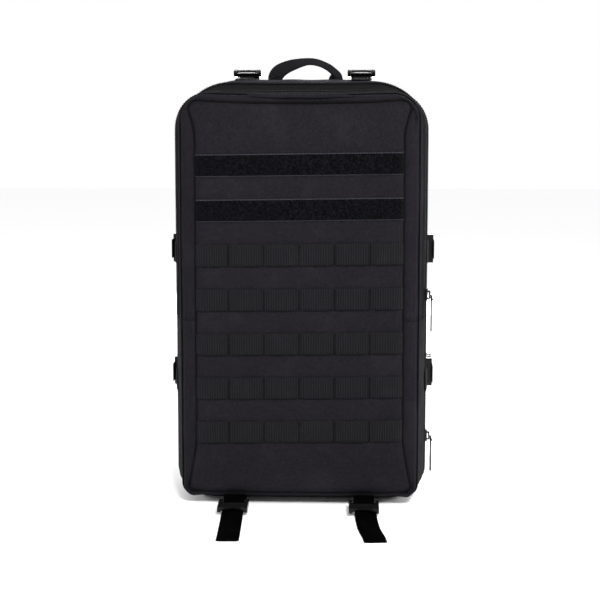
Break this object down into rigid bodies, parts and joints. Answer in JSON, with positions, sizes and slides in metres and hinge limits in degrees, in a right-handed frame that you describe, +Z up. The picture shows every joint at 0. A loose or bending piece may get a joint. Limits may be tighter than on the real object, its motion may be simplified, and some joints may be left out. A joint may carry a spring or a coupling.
{
  "type": "trauma backpack",
  "caption": "Tall padded first-aid backpack with a clamshell lid, fold-down front cover, webbing ladder, loop strips, zips, buckles and shoulder straps.",
  "frame": {"origin": "centre of the base's underside, on the surface the pack stands on", "axes": "+Z up, -Y out of the front panel, +X towards the pack's right-hand side as seen from in front"},
  "size_m": [0.316, 0.4114, 0.5205],
  "materials": {
    "pack_cloth": "coated woven nylon, matt",
    "spacer_mesh": "3-D spacer mesh, matt",
    "frame_plastic": "satin",
    "webbing": "ribbed woven nylon webbing",
    "zip_tape": "woven zip tape",
    "loop_pile": "brushed loop pile",
    "slider_metal": "satin black enamel",
    "pull_cord": "matt",
    "hardware": "moulded acetal, semi-gloss"
  },
  "bodies": {
    "pack": {"rear_shell": "pack_cloth", "base_panel": "pack_cloth", "frame_sheet": "frame_plastic", "back_pad_left": "spacer_mesh", "back_pad_right": "spacer_mesh", "strap_yoke": "pack_cloth", "handle_feet": "webbing", "main_zip_tape_shell": "zip_tape", "compression_web_rear": "webbing", "compression_buckle_female": "hardware", "lash_anchor_loops": "webbing", "lower_strap_anchors": "pack_cloth", "hydration_sleeve": "spacer_mesh", "load_lifter_web": "webbing", "lower_web_left": "webbing", "lower_web_right": "webbing"},
    "lid": {"lid_tub": "pack_cloth", "main_zip_tape_lid": "zip_tape", "front_zip_tape_tub": "zip_tape", "compression_web_front": "webbing", "molle_row_3": "webbing", "molle_row_4": "webbing", "molle_row_5": "webbing", "lid_mesh_pocket": "spacer_mesh", "organiser_loops": "webbing"},
    "cover": {"cover_shell": "pack_cloth", "front_zip_tape_cover": "zip_tape", "loop_strip_upper": "loop_pile", "loop_strip_lower": "loop_pile", "molle_row_1": "webbing", "molle_row_2": "webbing"},
    "clip_upper_left": {"compression_male_upper_left": "hardware"},
    "clip_upper_right": {"compression_male_upper_right": "hardware"},
    "clip_lower_left": {"compression_male_lower_left": "hardware"},
    "clip_lower_right": {"compression_male_lower_right": "hardware"},
    "main_slider": {"main_slider": "slider_metal"},
    "main_pull": {"main_pull": "pull_cord"},
    "front_slider": {"front_slider": "slider_metal"},
    "front_pull": {"front_pull": "pull_cord"},
    "handle": {"grab_handle": "webbing"},
    "lifter_lock_left": {"ladderlock_top_left": "hardware"},
    "lifter_lock_right": {"ladderlock_top_right": "hardware"},
    "lash_left": {"ladderlock_bottom_left": "hardware", "lash_tail_left": "webbing"},
    "lash_right": {"ladderlock_bottom_right": "hardware", "lash_tail_right": "webbing"},
    "strap_left": {"shoulder_strap_left": "pack_cloth", "lower_ladderlock_left": "hardware", "strap_webbing_left": "webbing", "sternum_buckle_female": "hardware"},
    "strap_right": {"shoulder_strap_right": "pack_cloth", "lower_ladderlock_right": "hardware", "strap_webbing_right": "webbing"},
    "ring_left": {"d_ring_left": "hardware"},
    "ring_right": {"d_ring_right": "hardware"},
    "sternum_clip": {"sternum_buckle_male": "hardware"}
  },
  "joints": [
    {"name": "lid_open", "type": "hinge", "parent": "pack", "child": "lid", "pos_m": [0, -0.11, 0.016], "axis": [1, 0, 0], "range_deg": [0, 85]},
    {"name": "cover_open", "type": "hinge", "parent": "lid", "child": "cover", "pos_m": [0, -0.11, 0.215], "axis": [1, 0, 0], "range_deg": [0, 90]},
    {"name": "clip_upper_left_slide", "type": "slide", "parent": "lid", "child": "clip_upper_left", "axis": [0, -1, 0], "range_m": [0, 0.03]},
    {"name": "clip_upper_right_slide", "type": "slide", "parent": "lid", "child": "clip_upper_right", "axis": [0, -1, 0], "range_m": [0, 0.03]},
    {"name": "clip_lower_left_slide", "type": "slide", "parent": "lid", "child": "clip_lower_left", "axis": [0, -1, 0], "range_m": [0, 0.03]},
    {"name": "clip_lower_right_slide", "type": "slide", "parent": "lid", "child": "clip_lower_right", "axis": [0, -1, 0], "range_m": [0, 0.03]},
    {"name": "main_slider_run", "type": "slide", "parent": "pack", "child": "main_slider", "axis": [0, 0, 1], "range_m": [0, 0.045]},
    {"name": "main_pull_swing", "type": "hinge", "parent": "main_slider", "child": "main_pull", "pos_m": [0.1544, -0.025, 0.0665], "axis": [0, -1, 0], "range_deg": [0, 80]},
    {"name": "front_slider_run", "type": "slide", "parent": "lid", "child": "front_slider", "axis": [0, 0, 1], "range_m": [0, 0.18]},
    {"name": "front_pull_swing", "type": "hinge", "parent": "front_slider", "child": "front_pull", "pos_m": [0.1516, -0.062, 0.2405], "axis": [0, -1, 0], "range_deg": [0, 80]},
    {"name": "handle_fold", "type": "hinge", "parent": "pack", "child": "handle", "pos_m": [0, 0.0985, 0.4972], "axis": [1, 0, 0], "range_deg": [-80, 80]},
    {"name": "lifter_lock_left_tilt", "type": "hinge", "parent": "pack", "child": "lifter_lock_left", "pos_m": [-0.07, 0.093, 0.4991], "axis": [-1, 0, 0], "range_deg": [0, 60]},
    {"name": "lifter_lock_right_tilt", "type": "hinge", "parent": "pack", "child": "lifter_lock_right", "pos_m": [0.07, 0.093, 0.4991], "axis": [-1, 0, 0], "range_deg": [0, 60]},
    {"name": "lash_left_lift", "type": "hinge", "parent": "pack", "child": "lash_left", "pos_m": [-0.074, -0.118, 0.0088], "axis": [1, 0, 0], "range_deg": [-60, 0]},
    {"name": "lash_right_lift", "type": "hinge", "parent": "pack", "child": "lash_right", "pos_m": [0.074, -0.118, 0.0088], "axis": [1, 0, 0], "range_deg": [-60, 0]},
    {"name": "strap_left_swing", "type": "hinge", "parent": "pack", "child": "strap_left", "pos_m": [-0.06, 0.1135, 0.456], "axis": [1, 0, 0], "range_deg": [0, 20], "deforming": ["lower_web_left"]},
    {"name": "strap_right_swing", "type": "hinge", "parent": "pack", "child": "strap_right", "pos_m": [0.06, 0.1135, 0.456], "axis": [1, 0, 0], "range_deg": [0, 20], "deforming": ["lower_web_right"]},
    {"name": "ring_left_swing", "type": "hinge", "parent": "strap_left", "child": "ring_left", "pos_m": [-0.0783, 0.15715, 0.316], "axis": [1, 0, 0], "range_deg": [0, 110]},
    {"name": "ring_right_swing", "type": "hinge", "parent": "strap_right", "child": "ring_right", "pos_m": [0.0783, 0.15715, 0.316], "axis": [1, 0, 0], "range_deg": [0, 110]},
    {"name": "sternum_clip_slide", "type": "slide", "parent": "strap_right", "child": "sternum_clip", "axis": [1, 0, 0], "range_m": [0, 0.024]}
  ],
  "couplings": [
    {"joint": "strap_right_swing", "follows": "strap_left_swing", "ratio": 1}
  ]
}
